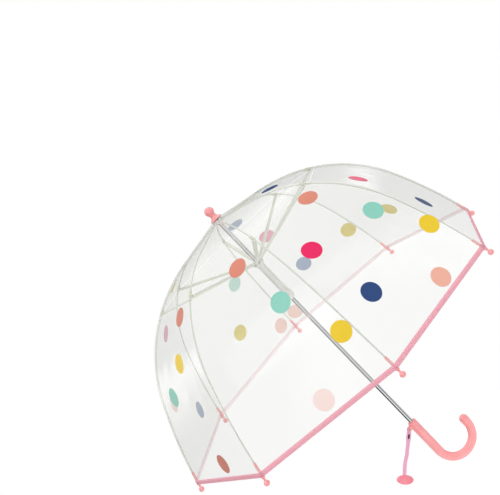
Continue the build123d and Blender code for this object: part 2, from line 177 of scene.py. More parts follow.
seen = add_node(tree, "ShaderNodeMix", {
    0: add_node(tree, "ShaderNodeLightPath").outputs["Is Camera Ray"],
    2: lit.outputs[0],
    3: 1.0,
})
glow = add_node(tree, "ShaderNodeBackground", {
    "Color": linear("#FFFFFF"),
    "Strength": seen.outputs[0],
})
add_node(tree, "ShaderNodeOutputWorld", {"Surface": glow.outputs["Background"]})
bpy.context.scene.view_settings.view_transform = "Standard"

dome_middle = Vector((0, 0, 0.42))
for name, place, size, watts in (
    ("key_box", (-1.3, -1.7, 1.9), 0.9, 11),
    ("fill_box", (2.0, -1.6, 0.9), 1.2, 5),
    ("top_box", (0.3, 0.8, 2.4), 1.2, 6),
):
    lamp = bpy.data.lights.new(name, "AREA")
    lamp.size = size
    lamp.energy = watts
    holder = bpy.data.objects.new(name, lamp)
    holder.location = place
    holder.rotation_euler = (Vector(place) - dome_middle).to_track_quat("Z", "Y").to_euler()
    bpy.context.scene.collection.objects.link(holder)

# Camera: square to the shaft, a little above it, and rolled so that the shaft runs corner to corner
view_azimuth = radians(353.52)
view_elevation = radians(5.91)
view_roll = radians(-43.93)
view_target = Vector((0.0086, 0, 0.4839))
view_distance = 1.6185
view_back = Vector((
    sin(view_azimuth) * cos(view_elevation),
    -cos(view_azimuth) * cos(view_elevation),
    sin(view_elevation),
))
lens = bpy.data.cameras.new("studio_lens")
lens.sensor_width = 36
lens.lens = 63.7
camera = bpy.data.objects.new("studio_camera", lens)
camera.location = view_target + view_back * view_distance
level_turn = view_back.to_track_quat("Z", "Y")
camera.rotation_mode = "QUATERNION"
camera.rotation_quaternion = level_turn @ Matrix.Rotation(view_roll, 3, "Z").to_quaternion()
bpy.context.scene.collection.objects.link(camera)
bpy.context.scene.camera = camera

# ---------------------------------------------------------------------------------------------
# Shaft: chromed steel tube, drawn and polished, with faint lengthwise draw lines.
# Bent spring-steel catches stand out of its windows, and spring wire ties the ribs at the crown.


def coat(material, *nodes):
    """Give CAD nodes a better material."""
    for name in nodes:
        for material_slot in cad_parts[name].material_slots:
            material_slot.material = material


# Chrome plate over drawn tube: mirror-like, with draw lines about 0.7 mm apart along the tube
chrome, tree = new_material("chromed_steel_tube")
space = add_node(tree, "ShaderNodeTexCoord")
drawn = add_node(tree, "ShaderNodeMapping", {
    "Vector": space.outputs["Object"],
    "Scale": (1, 1, 0.02),
})
lines = add_node(tree, "ShaderNodeTexNoise", {
    "Vector": drawn.outputs["Vector"],
    "Scale": 1400,
    "Detail": 2,
})
gloss = add_node(tree, "ShaderNodeMapRange", {
    "Value": lines.outputs["Fac"],
    "To Min": 0.03,
    "To Max": 0.12,
})
surface = add_node(tree, "ShaderNodeBsdfPrincipled", {
    "Base Color": linear("#E6E7EA"),
    "Metallic": 1.0,
    "Roughness": gloss.outputs["Result"],
})
add_node(tree, "ShaderNodeOutputMaterial", {"Surface": surface.outputs["BSDF"]})
coat(chrome, "shaft")

# Tempered spring steel: bright but not polished, rolled grain about 1 mm apart
spring_steel, tree = new_material("tempered_spring_steel")
space = add_node(tree, "ShaderNodeTexCoord")
grain = add_node(tree, "ShaderNodeTexNoise", {
    "Vector": space.outputs["Object"],
    "Scale": 1000,
    "Detail": 3,
})
gloss = add_node(tree, "ShaderNodeMapRange", {
    "Value": grain.outputs["Fac"],
    "To Min": 0.22,
    "To Max": 0.36,
})
surface = add_node(tree, "ShaderNodeBsdfPrincipled", {
    "Base Color": linear("#A9ACAF"),
    "Metallic": 1.0,
    "Roughness": gloss.outputs["Result"],
})
add_node(tree, "ShaderNodeOutputMaterial", {"Surface": surface.outputs["BSDF"]})
coat(spring_steel, "crown_wire", "runner_wire", "top_catch", "bottom_catch")


# ---------------------------------------------------------------------------------------------
# Notch, spacer and runner: milky polypropylene mouldings that the rib and stretcher eyes turn in.
# Translucent, with soft flow marks from the mould.

milky_plastic, tree = new_material("milky_polypropylene")
space = add_node(tree, "ShaderNodeTexCoord")
flow = add_node(tree, "ShaderNodeTexNoise", {
    "Vector": space.outputs["Object"],
    "Scale": 60,
    "Detail": 2,
})
shades = add_node(tree, "ShaderNodeValToRGB", {"Fac": flow.outputs["Fac"]})
set_stops(shades, [(0.3, linear("#E6E8E1")), (0.7, linear("#F3F4EF"))])
surface = add_node(tree, "ShaderNodeBsdfPrincipled", {
    "Base Color": shades.outputs["Color"],
    "Roughness": 0.35,
    "Alpha": 0.82,
    "Subsurface Weight": 0.25,
    "Subsurface Radius": (0.004, 0.004, 0.004),
    "Subsurface Scale": 1.0,
})
add_node(tree, "ShaderNodeOutputMaterial", {"Surface": surface.outputs["BSDF"]})
coat(milky_plastic, "runner", "top_notch", "film_spacer")


# ---------------------------------------------------------------------------------------------
# Ribs: springy glass-fibre rods with moulded nylon clips that the stretchers are riveted to.
# A real rib is one rod that bends; here a small knuckle beyond the clip stands in for the bend.

gores = range(1, 9)
rib_spacing = radians(45)
shaft_top_rise = 0.016
crown_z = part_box("shaft")[1][2] - shaft_top_rise
pivot_radius = 0.00785
rib_bends = ((0.094, 3.0), (0.109, 21.9), (0.148, 30.8), (0.163, 11.0))
rib_start_slope = 7.8
rib_length = sum(length for length, turn in rib_bends)
clip_at = 0.1872
clip_profile = (
    (-0.0062, 0), (-0.0062, 0.0019), (-0.0058, 0.0025),
    (-0.005, 0.0028), (-0.0024, 0.0028), (-0.002, 0.0025),
    (0.002, 0.0025), (0.0024, 0.0028), (0.005, 0.0028),
    (0.0058, 0.0025), (0.0062, 0.0019), (0.0062, 0),
)


def along_rib(distance):
    """Radius, height and downward slope (radians) of a rib's centreline, from the crown pivot."""
    radius, height, slope = pivot_radius, crown_z, radians(rib_start_slope)
    for length, turn in rib_bends:
        run = min(distance, length)
        bend = radians(turn) * run / length
        chord = 2 * (length / radians(turn)) * sin(bend / 2)
        radius += chord * cos(slope + bend / 2)
        height -= chord * sin(slope + bend / 2)
        slope += bend
        distance -= run
    return radius, height, slope


def rib_station(gore, distance):
    """A point of a rib's centreline and its heading, for the rib that starts this gore."""
    radius, height, slope = along_rib(distance)
    angle = -rib_spacing * (gore - 1)
    out = Vector((cos(angle), sin(angle), 0))
    return out * radius + Vector((0, 0, height)), out * cos(slope) - Vector((0, 0, sin(slope)))


def ring_faces(rings, sides):
    """Faces that join each ring of points to the next; a ring of one point is a pole."""
    faces = []
    for low, high in zip(rings, rings[1:]):
        for step in range(sides):
            after = (step + 1) % sides
            corners = (
                low[step % len(low)], low[after % len(low)],
                high[after % len(high)], high[step % len(high)],
            )
            faces.append(tuple(dict.fromkeys(corners)))
    return faces


def turned_piece(name, profile, start, heading, sides=32):
    """A piece turned about the heading, from (distance along, radius) pairs closed on the axis."""
    across = heading.orthogonal().normalized()
    up = heading.cross(across).normalized()
    points = []
    rings = []
    for along, radius in profile:
        count = sides if radius else 1
        rings.append(range(len(points), len(points) + count))
        for step in range(count):
            turn = 2 * pi * step / sides
            points.append(start + heading * along + (across * cos(turn) + up * sin(turn)) * radius)
    return mesh_object(name, points, ring_faces(rings, sides))


# Pultruded glass fibre: lengthwise fibres under clear resin, in strands of about 2.5 mm
rib_rod, tree = new_material("glass_fibre_rod")
space = add_node(tree, "ShaderNodeTexCoord")
fibres = add_node(tree, "ShaderNodeTexNoise", {
    "Vector": space.outputs["Object"],
    "Scale": 400,
    "Detail": 3,
})
shades = add_node(tree, "ShaderNodeValToRGB", {"Fac": fibres.outputs["Fac"]})
set_stops(shades, [(0.3, linear("#D3D6CB")), (0.7, linear("#E6E8DE"))])
surface = add_node(tree, "ShaderNodeBsdfPrincipled", {
    "Base Color": shades.outputs["Color"],
    "Roughness": 0.3,
    "IOR": 1.52,
})
add_node(tree, "ShaderNodeOutputMaterial", {"Surface": surface.outputs["BSDF"]})
# Moulded nylon clip, natural colour: slightly yellow and see-through, satin from the mould
clip_nylon, tree = new_material("natural_nylon")
space = add_node(tree, "ShaderNodeTexCoord")
flow = add_node(tree, "ShaderNodeTexNoise", {
    "Vector": space.outputs["Object"],
    "Scale": 150,
    "Detail": 2,
})
shades = add_node(tree, "ShaderNodeValToRGB", {"Fac": flow.outputs["Fac"]})
set_stops(shades, [(0.3, linear("#DDDCC2")), (0.7, linear("#ECEBD8"))])
surface = add_node(tree, "ShaderNodeBsdfPrincipled", {
    "Base Color": shades.outputs["Color"],
    "Roughness": 0.4,
    "IOR": 1.53,
    "Alpha": 0.85,
})
add_node(tree, "ShaderNodeOutputMaterial", {"Surface": surface.outputs["BSDF"]})
for gore in gores:
    coat(rib_rod, f"rib_upper_{gore}", f"rib_lower_{gore}")
    clip = turned_piece(f"rib_clip_{gore}", clip_profile, *rib_station(gore, clip_at))
    clip.data.materials.append(clip_nylon)
    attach(clip, f"rib_upper_{gore}")


# ---------------------------------------------------------------------------------------------
# Stretchers: channels pressed from thin steel strip under cream-white enamel.
# Each is riveted to its rib's clip and turns on the runner's wire at its other end.

# Stoved enamel: smooth and glossy with a faint orange peel about 1.5 mm across
enamel, tree = new_material("stoved_cream_enamel")
space = add_node(tree, "ShaderNodeTexCoord")
peel = add_node(tree, "ShaderNodeTexNoise", {
    "Vector": space.outputs["Object"],
    "Scale": 700,
    "Detail": 1,
})
shades = add_node(tree, "ShaderNodeValToRGB", {"Fac": peel.outputs["Fac"]})
set_stops(shades, [(0.3, linear("#DFE1D5")), (0.7, linear("#EDEEE4"))])
bump = add_node(tree, "ShaderNodeBump", {
    "Height": peel.outputs["Fac"],
    "Strength": 0.15,
    "Distance": 0.0002,
})
surface = add_node(tree, "ShaderNodeBsdfPrincipled", {
    "Base Color": shades.outputs["Color"],
    "Roughness": 0.25,
    "Normal": bump.outputs["Normal"],
})
add_node(tree, "ShaderNodeOutputMaterial", {"Surface": surface.outputs["BSDF"]})
for gore in gores:
    coat(enamel, f"stretcher_{gore}")


# ---------------------------------------------------------------------------------------------
# Film: eight gores of clear POE film, welded edge to edge over the ribs.
# Each gore is stretched flat across and bends only downwards, and its welds are narrow and milky.
# Folded film pleats; here each gore rides its panel whole.

half_gore = radians(22.5)
flex_at = 0.200
film_gap = 0.0031
film_join = 0.040
film_start = (0.0065, 0.0053)
weld_width = 0.0018
# Gap at the crease, so that the lower film clears the upper when the knuckle bends. Real film
# has none.
crease_room = 0.0022
tape_overlap = 0.001
panel_rows = {
    "upper": (0.0, flex_at, 26),
    "lower": (flex_at + crease_room, rib_length - tape_overlap, 44),
}


def seam_point(distance, outward=film_gap):
    """Radius and height of the film's corner over a rib, this far down from the crown."""
    radius, height, slope = along_rib(max(distance, film_join))
    radius += outward * sin(slope)
    height += outward * cos(slope)
    if distance < film_join:
        share = distance / film_join
        start_z = crown_z + film_start[1] + outward - film_gap
        radius = film_start[0] + (radius - film_start[0]) * share
        height = start_z + (height - start_z) * share
    return radius, height


def gore_frame(gore):
    """Outward and sideways directions of a gore's middle line."""
    angle = -half_gore * (2 * gore - 1)
    return Vector((cos(angle), sin(angle), 0)), Vector((-sin(angle), cos(angle), 0))


def film_place(gore, down, across, outward=film_gap):
    """A point on a gore, by its distance down from the crown and across from the middle."""
    out, side = gore_frame(gore)
    radius, height = seam_point(down, outward)
    return out * (radius * cos(half_gore)) + side * across + Vector((0, 0, height))


def half_width(down):
    """Half of a gore's width at this distance down."""
    return seam_point(down)[0] * sin(half_gore)


def fold_with_panel(piece, part, gore):
    """Ride on a panel's body, with a mesh of its own."""
    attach(piece, f"panel_{part}_{gore}")
    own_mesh(piece)


# Cast POE film: water-clear with a slight grey-green cast that deepens at a slant, soft ripples
# about 70 mm apart, and a fine embossed grain along the welds
clear_film, tree = new_material("cast_POE_film")
weld = add_node(tree, "ShaderNodeAttribute", attribute_name="weld")
slant = add_node(tree, "ShaderNodeLayerWeight", {"Blend": 0.25})
space = add_node(tree, "ShaderNodeTexCoord")
ripple = add_node(tree, "ShaderNodeTexNoise", {
    "Vector": space.outputs["Object"],
    "Scale": 14,
    "Detail": 2,
})
grain = add_node(tree, "ShaderNodeTexNoise", {
    "Vector": space.outputs["Object"],
    "Scale": 900,
    "Detail": 1,
})
weld_grain = add_node(tree, "ShaderNodeMath", {
    0: grain.outputs["Fac"],
    1: weld.outputs["Fac"],
}, operation="MULTIPLY")
ripple_bump = add_node(tree, "ShaderNodeBump", {
    "Height": ripple.outputs["Fac"],
    "Strength": 0.12,
    "Distance": 0.008,
})
film_bump = add_node(tree, "ShaderNodeBump", {
    "Height": weld_grain.outputs[0],
    "Normal": ripple_bump.outputs["Normal"],
    "Strength": 0.3,
    "Distance": 0.0004,
})
haze = add_node(tree, "ShaderNodeMapRange", {
    "Value": slant.outputs["Facing"],
    "To Min": 0.2,
    "To Max": 0.43,
})
milky_haze = add_node(tree, "ShaderNodeMapRange", {
    "Value": weld.outputs["Fac"],
    "To Min": haze.outputs["Result"],
    "To Max": 0.3,
})
surface = add_node(tree, "ShaderNodeBsdfPrincipled", {
    "Base Color": linear("#DADCD4"),
    "Roughness": 0.07,
    "IOR": 1.48,
    "Alpha": milky_haze.outputs["Result"],
    "Normal": film_bump.outputs["Normal"],
})
add_node(tree, "ShaderNodeOutputMaterial", {"Surface": surface.outputs["BSDF"]})

across_steps = 22
weld_blend = 0.0008
weld_share = 0.45
blend_share = 0.05
for gore in gores:
    for part, (first, last, rows) in panel_rows.items():
        points = []
        weld_values = []
        for row in range(rows + 1):
            down = first + (last - first) * row / rows
            half = half_width(down)
            inner = half - min(weld_width, half * weld_share)
            clear = inner - min(weld_blend, half * blend_share)
            stations = [-half, -inner]
            stations += [clear * (2 * i / across_steps - 1) for i in range(across_steps + 1)]
            stations += [inner, half]
            for place, across in enumerate(stations):
                points.append(film_place(gore, down, across))
                weld_values.append(1.0 if place < 2 or place > across_steps + 2 else 0.0)
        columns = across_steps + 5
        faces = [
            (start, start + columns, start + columns + 1, start + 1)
            for row in range(rows)
            for start in range(row * columns, (row + 1) * columns - 1)
        ]
        film = mesh_object(f"film_{part}_{gore}", points, faces)
        marks = film.data.attributes.new("weld", "FLOAT", "POINT")
        marks.data.foreach_set("value", weld_values)
        film.data.materials.append(clear_film)
        fold_with_panel(film, part, gore)
        2 * half_width(last)
        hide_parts(f"panel_{part}_{gore}")


# ---------------------------------------------------------------------------------------------
# Dots: 35 mm spots of screen ink on the outside of the film, in seven party colours.
# The ink lies over a thin white backing, so a dot looks paler from inside the dome.

dot_radius = 0.0172
dot_lift = 0.00012
ink_colours = {
    "coral": ("#D6846F", "#F3CFC5"),
    "hot_pink": ("#EA165E", "#EBA3BA"),
    "navy": ("#0F3C7A", "#9AA9C4"),
    "mint": ("#8CD0BE", "#BDE0D6"),
    "mustard": ("#F0CC14", "#E0CF70"),
    "peach": ("#F3B39E", "#F6DCD2"),
    "blush": ("#FDE6DF", "#FBEAE5"),
}
# For each gore: colour, distance down from the crown and distance across from the middle, in mm
mm_per_m = 1000
dots = {
    1: (("hot_pink", 285, -45), ("navy", 405, -45), ("navy", 120, -28)),
    2: (
        ("navy", 415, -60), ("hot_pink", 300, -55), ("mint", 335, 70), ("coral", 225, 40),
        ("peach", 485, 38), ("mustard", 420, 108),
    ),
    3: (("mint", 325, 60), ("coral", 222, 28), ("mustard", 420, 108), ("blush", 482, 20)),
    4: (("coral", 222, 40), ("coral", 482, 25), ("mint", 350, -50), ("mustard", 300, 20)),
    5: (("hot_pink", 260, 0), ("peach", 380, 60), ("navy", 450, -50), ("mustard", 160, -10)),
    6: (("mint", 320, -68), ("mustard", 415, -15), ("coral", 482, -108)),
    7: (
        ("hot_pink", 285, 18), ("navy", 405, 15), ("mustard", 415, -107), ("coral", 482, 112),
        ("navy", 175, 28),
    ),
    8: (("mustard", 425, 7), ("mint", 105, -15)),
}

# Screen ink on film: satin, slightly speckled where the mesh left it thin, about 1.5 mm apart
speck_shade = 0.93
inks = {}
for colour, faces_hex in ink_colours.items():
    for side, hex_colour in zip(("face", "backing"), faces_hex):
        ink, tree = new_material(f"screen_ink_{colour}_{side}")
        space = add_node(tree, "ShaderNodeTexCoord")
        speck = add_node(tree, "ShaderNodeTexNoise", {
            "Vector": space.outputs["Object"],
            "Scale": 700,
        })
        tone = linear(hex_colour)
        shades = add_node(tree, "ShaderNodeValToRGB", {"Fac": speck.outputs["Fac"]})
        set_stops(shades, [(0.3, [c * speck_shade for c in tone]), (0.7, tone)])
        surface = add_node(tree, "ShaderNodeBsdfPrincipled", {
            "Base Color": shades.outputs["Color"],
            "Roughness": 0.35,
            "Specular IOR Level": 0.25,
        })
        add_node(tree, "ShaderNodeOutputMaterial", {"Surface": surface.outputs["BSDF"]})
        inks[colour, side] = ink

dot_rings = 4
dot_sides = 40
for gore in gores:
    for part, (first, last, rows) in panel_rows.items():
        printed = [dot for dot in dots[gore] if first < dot[1] / mm_per_m <= last]
        if not printed:
            continue
        points = []
        faces = []
        face_inks = []
        for colour, down_mm, across_mm in printed:
            for side, lift in (("face", dot_lift), ("backing", -dot_lift)):
                start = len(points)
                middle_down = down_mm / mm_per_m
                middle_across = across_mm / mm_per_m
                points.append(film_place(gore, middle_down, middle_across, film_gap + lift))
                for ring in range(1, dot_rings + 1):
                    for step in range(dot_sides):
                        turn = 2 * pi * step / dot_sides
                        reach = dot_radius * ring / dot_rings
                        down = middle_down + reach * cos(turn)
                        across = middle_across + reach * sin(turn)
                        points.append(film_place(gore, down, across, film_gap + lift))
                way = -1 if side == "backing" else 1
                for step in range(dot_sides):
                    after = (step + 1) % dot_sides
                    faces.append((start, start + 1 + step, start + 1 + after)[::way])
                    for ring in range(dot_rings - 1):
                        low = start + 1 + ring * dot_sides
                        high = low + dot_sides
                        faces.append((low + step, high + step, high + after, low + after)[::way])
                face_inks += [(colour, side)] * (dot_sides * dot_rings)
        spots = mesh_object(f"dots_{part}_{gore}", points, faces)
        used = sorted(set(face_inks))
        for key in used:
            spots.data.materials.append(inks[key])
        spots.data.polygons.foreach_set("material_index", [used.index(key) for key in face_inks])
        fold_with_panel(spots, part, gore)


# ---------------------------------------------------------------------------------------------
# Rim tape: pink woven polyester tape folded over the film's edge and stitched through.
# It runs straight from one rib tip to the next; its inner lap is painted pale, painted light for
# the light that shines through the thin tape from outside the dome.

tape_width = 0.0085
tape_half_thickness = 0.00045
tape_steps = 24
tape_outline = (
    (0, 0.5), (0.03, 1), (0.5, 1), (0.93, 0.9), (1, 0),
    (0.93, -0.9), (0.5, -1), (0.03, -1), (0, -0.5),
)
tape_section = [
    (rib_length - tape_width * (1 - share), side * tape_half_thickness)
    for share, side in tape_outline
]
# Woven polyester: ribs of weft about 1.2 mm apart along the tape, drawn coarse enough to show;
# a faint painted glow stands for the light that comes through the thin weave, and the inner lap's
# near-white colour and stronger glow are painted light of the same kind
weave_valley = 0.86
weave_crest = 1.1
tapes = {}
for side, hex_colour, cover, through in (
    ("outer", "#FBA6B6", 0.78, 0.03),
    # Inner lap: near-white colour and stronger glow, painted light shining through the tape
    ("inner", "#FBECEE", 0.8, 0.15),
):
    tape_weave, tree = new_material(f"woven_polyester_tape_{side}")
    space = add_node(tree, "ShaderNodeTexCoord")
    weave = add_node(tree, "ShaderNodeTexWave", {
        "Vector": space.outputs["UV"],
        "Scale": 260,
        "Distortion": 0.6,
    }, bands_direction="X")
    shades = add_node(tree, "ShaderNodeValToRGB", {"Fac": weave.outputs["Fac"]})
    tone = linear(hex_colour)
    valley = [c * weave_valley for c in tone]
    crest = [min(c * weave_crest, 1) for c in tone]
    set_stops(shades, [(0.0, valley), (1.0, crest)])
    bump = add_node(tree, "ShaderNodeBump", {
        "Height": weave.outputs["Fac"],
        "Strength": 0.4,
        "Distance": 0.0003,
    })
    surface = add_node(tree, "ShaderNodeBsdfPrincipled", {
        "Base Color": shades.outputs["Color"],
        "Roughness": 0.6,
        "Alpha": cover,
        "Normal": bump.outputs["Normal"],
        # The emission is a painted glow for light shining through the tape, not a lamp
        "Emission Color": shades.outputs["Color"],
        "Emission Strength": through,
    })
    add_node(tree, "ShaderNodeOutputMaterial", {"Surface": surface.outputs["BSDF"]})
    tapes[side] = tape_weave

for gore in gores:
    points = []
    charted = []
    for step in range(tape_steps + 1):
        share = 2 * step / tape_steps - 1
        for down, lift in tape_section:
            points.append(film_place(gore, down, share * half_width(down), film_gap + lift))
            charted.append((share * half_width(down), down))
    width = len(tape_section)
    faces = [
        (row + i, row + (i + 1) % width, row + width + (i + 1) % width, row + width + i)
        for row in range(0, tape_steps * width, width)
        for i in range(width)
    ]
    lap = [0 if i < width // 2 else 1 for row in range(tape_steps) for i in range(width)]
    faces += [tuple(range(width))[::-1], tuple(range(tape_steps * width, len(points)))]
    tape = mesh_object(f"rim_tape_{gore}", points, faces)
    tape.data.materials.append(tapes["outer"])
    tape.data.materials.append(tapes["inner"])
    tape.data.polygons.foreach_set("material_index", lap + [0, 0])
    chart = tape.data.uv_layers.new(name="along_tape")
    for loop in tape.data.loops:
        chart.data[loop.index].uv = charted[loop.vertex_index]
    fold_with_panel(tape, "lower", gore)

# Polyester sewing thread, a lock stitch along the tape: stitches 5 mm apart, coarser than the real
# 3 mm so that they show, each a bead half sunk in the tape
thread, tree = new_material("polyester_sewing_thread")
space = add_node(tree, "ShaderNodeTexCoord")
twist = add_node(tree, "ShaderNodeTexNoise", {"Vector": space.outputs["Object"], "Scale": 1500})
shades = add_node(tree, "ShaderNodeValToRGB", {"Fac": twist.outputs["Fac"]})
set_stops(shades, [(0.3, linear("#F7C3CD")), (0.7, linear("#FDDDE3"))])
surface = add_node(tree, "ShaderNodeBsdfPrincipled", {
    "Base Color": shades.outputs["Color"],
    "Roughness": 0.7,
    "Sheen Weight": 0.2,
})
add_node(tree, "ShaderNodeOutputMaterial", {"Surface": surface.outputs["BSDF"]})

stitch_sizes = {"Pitch": 0.005, "Stitch Length": 0.0034, "Thread Width": 0.0007}
stitching = bpy.data.node_groups.new("lock_stitch", "GeometryNodeTree")
stitching.interface.new_socket("Geometry", in_out="OUTPUT", socket_type="NodeSocketGeometry")
stitching.interface.new_socket("Seam", in_out="INPUT", socket_type="NodeSocketGeometry")
for size_name in stitch_sizes:
    stitching.interface.new_socket(size_name, in_out="INPUT", socket_type="NodeSocketFloat")
stitching.interface.new_socket("Thread", in_out="INPUT", socket_type="NodeSocketMaterial")
given = add_node(stitching, "NodeGroupInput")
seam_curve = add_node(stitching, "GeometryNodeMeshToCurve", {"Mesh": given.outputs["Seam"]})
spaced = add_node(stitching, "GeometryNodeResampleCurve", {
    "Curve": seam_curve.outputs["Curve"],
    "Length": given.outputs["Pitch"],
}, mode="LENGTH")
bead = add_node(stitching, "GeometryNodeMeshIcoSphere", {"Radius": 0.5, "Subdivisions": 2})
bead_size = add_node(stitching, "ShaderNodeCombineXYZ", {
    "X": given.outputs["Stitch Length"],
    "Y": given.outputs["Thread Width"],
    "Z": given.outputs["Thread Width"],
})
along_seam = add_node(stitching, "FunctionNodeAlignRotationToVector", {
    "Vector": add_node(stitching, "GeometryNodeInputTangent").outputs["Tangent"],
}, axis="X")
beads = add_node(stitching, "GeometryNodeInstanceOnPoints", {
    "Points": spaced.outputs["Curve"],
    "Instance": bead.outputs["Mesh"],
    "Rotation": along_seam.outputs["Rotation"],
    "Scale": bead_size.outputs["Vector"],
})
real_beads = add_node(stitching, "GeometryNodeRealizeInstances", {
    "Geometry": beads.outputs["Instances"],
})
sewn = add_node(stitching, "GeometryNodeSetMaterial", {
    "Geometry": real_beads.outputs["Geometry"],
    "Material": given.outputs["Thread"],
})
add_node(stitching, "NodeGroupOutput", {"Geometry": sewn.outputs["Geometry"]})

stitch_share = 0.75
stitch_down = rib_length - stitch_share * tape_width
seam_end = 0.004
for gore in gores:
    reach = half_width(stitch_down) - seam_end
    seam = [
        film_place(gore, stitch_down, way * reach, film_gap + side * tape_half_thickness)
        for side in (1, -1)
        for way in (-1, 1)
    ]
    sketch_mesh = bpy.data.meshes.new(f"seam_line_{gore}")
    sketch_mesh.from_pydata(seam, [(0, 1), (2, 3)], [])
    sketch = bpy.data.objects.new(f"seam_line_{gore}", sketch_mesh)
    bpy.context.scene.collection.objects.link(sketch)
    sewing = sketch.modifiers.new("lock_stitch", "NODES")
    sewing.node_group = stitching
    wanted = {**stitch_sizes, "Thread": thread}
    for item in stitching.interface.items_tree:
        if item.name in wanted:
            sewing[item.identifier] = wanted[item.name]
    evaluated = sketch.evaluated_get(bpy.context.evaluated_depsgraph_get())
    stitch_mesh = bpy.data.meshes.new_from_object(evaluated)
    stitch_mesh.name = f"rim_stitches_{gore}"
    bpy.data.objects.remove(sketch)
    stitches = bpy.data.objects.new(f"rim_stitches_{gore}", stitch_mesh)
    bpy.context.scene.collection.objects.link(stitches)
    fold_with_panel(stitches, "lower", gore)


# ---------------------------------------------------------------------------------------------
# Rib tips: pink ABS sleeves pushed on the rods, with a collar where the film's corner is tied
# and a safety ball below it.

# Injection-moulded ABS: glossy pink with faint flow marks some 30 mm across
pink_abs, tree = new_material("pink_ABS")
space = add_node(tree, "ShaderNodeTexCoord")
flow = add_node(tree, "ShaderNodeTexNoise", {
    "Vector": space.outputs["Object"],
    "Scale": 35,
    "Detail": 3,
})
shades = add_node(tree, "ShaderNodeValToRGB", {"Fac": flow.outputs["Fac"]})
set_stops(shades, [(0.3, linear("#FA9C9E")), (0.7, linear("#FFABAC"))])
surface = add_node(tree, "ShaderNodeBsdfPrincipled", {
    "Base Color": shades.outputs["Color"],
    "Roughness": 0.22,
    "IOR": 1.53,
})
add_node(tree, "ShaderNodeOutputMaterial", {"Surface": surface.outputs["BSDF"]})

tip_back = 0.0125
tip_ball_radius = 0.005
tip_ball_at = 0.011
tip_profile = [
    (-0.025, 0), (-0.025, 0.0018), (-0.0247, 0.0021),
    (-0.0242, 0.0023), (-0.0028, 0.0023), (-0.0024, 0.0026),
    (-0.002, 0.0029), (-0.0014, 0.0031), (0.0012, 0.0031), (0.0018, 0.0029), (0.0022, 0.0024),
    (0.003, 0.002), (0.004, 0.0017), (0.0055, 0.0017),
]
tip_neck_turn = 152
ball_steps = 12


def ball_outline(middle, radius, neck_turn):
    """A ball's outline from its neck, this many degrees round from its far end, to that end."""
    turns = [radians(neck_turn * (1 - step / ball_steps)) for step in range(ball_steps)]
    outline = [(middle + radius * cos(turn), radius * sin(turn)) for turn in turns]
    return outline + [(middle + radius, 0)]


tip_profile += ball_outline(tip_ball_at, tip_ball_radius, tip_neck_turn)
for gore in gores:
    middle, heading = rib_station(gore, rib_length - tip_back)
    tip = turned_piece(f"safety_tip_{gore}", tip_profile, middle + heading * tip_back, heading)
    tip.data.materials.append(pink_abs)
    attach(tip, f"rib_lower_{gore}")
    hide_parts(f"rib_tip_{gore}")


# ---------------------------------------------------------------------------------------------
# Ferrule: a pink ABS cap with a flared skirt, a neck and a ball, moulded in one piece.
# It is pushed down on the end of the shaft and clamps the film's crown under its skirt.

ferrule_ball_radius = 0.009
ferrule_ball_at = 0.0235
ferrule_profile = [
    (0.0066, 0), (0.0066, 0.0058), (0.0053, 0.0112),
    (0.0051, 0.0117), (0.0054, 0.012), (0.0063, 0.012),
    (0.0068, 0.0117), (0.0075, 0.0105), (0.0085, 0.009),
    (0.01, 0.0074), (0.0118, 0.0063), (0.0138, 0.0058),
    (0.0155, 0.0059),
]
ferrule_neck_turn = 138
ferrule_profile += ball_outline(ferrule_ball_at, ferrule_ball_radius, ferrule_neck_turn)
crown_cap = turned_piece(
    "crown_cap", ferrule_profile, Vector((0, 0, crown_z)), Vector((0, 0, 1)), sides=48
)
crown_cap.data.materials.append(pink_abs)
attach(crown_cap, "root")
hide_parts("ferrule")


# ---------------------------------------------------------------------------------------------
# Handle: a hollow pink ABS crook with a fine parting line where the two mould halves met,
# and a forked lug with a steel pin for the closing strap.

handle_radius = 0.0085
mouth_z = 0.036
crook_start_z = -0.044
crook_radius = 0.038
free_leg = 0.009
straight_run = mouth_z - crook_start_z
crook_run = pi * crook_radius
handle_run = straight_run + crook_run + free_leg
parting_ridge = 0.00015


def crook_place(distance):
    """A point of the crook's centreline and the direction from it to the inside of the bend."""
    if distance < straight_run:
        return Vector((0, 0, mouth_z - distance)), Vector((1, 0, 0))
    turn = (distance - straight_run) / crook_radius
    if turn < pi:
        inward = Vector((cos(turn), 0, sin(turn)))
        return Vector((crook_radius, 0, crook_start_z)) - inward * crook_radius, inward
    past = distance - straight_run - crook_run
    return Vector((2 * crook_radius, 0, crook_start_z + past)), Vector((-1, 0, 0))


handle_sides = 40
handle_steps = 80
mouth_end = 0.004
end_turn = 9
mouth_shape = (
    (0.0006, 0), (0.0006, 0.0041), (0, 0.0045), (0, 0.0069),
    (0.0002, 0.0077), (0.0007, 0.0082), (0.0015, 0.0085),
)
rings = list(mouth_shape)
rings += [
    (mouth_end + (handle_run - mouth_end) * step / handle_steps, handle_radius)
    for step in range(handle_steps + 1)
]
rings += [
    (handle_run + handle_radius * sin(radians(turn)), handle_radius * cos(radians(turn)))
    for turn in range(end_turn, 90, end_turn)
]
rings.append((handle_run + handle_radius, 0))
points = []
starts = []
for distance, radius in rings:
    centre, inward = crook_place(distance)
    count = handle_sides if radius else 1
    starts.append(range(len(points), len(points) + count))
    for step in range(count):
        turn = 2 * pi * step / handle_sides
        ridge = parting_ridge if step % (handle_sides // 2) == 0 and radius == handle_radius else 0
        points.append(centre + (inward * cos(turn) + Vector((0, sin(turn), 0))) * (radius + ridge))
# The rings run down the handle, so their faces are wound the other way
faces = [(face[0],) + face[:0:-1] for face in ring_faces(starts, handle_sides)]
crook = mesh_object("crook_handle", points, faces)
crook.data.materials.append(pink_abs)
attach(crook, "root")
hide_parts("handle")
# The cross pin's ends are flush with the grip and match its colour
coat(pink_abs, "handle_pin")

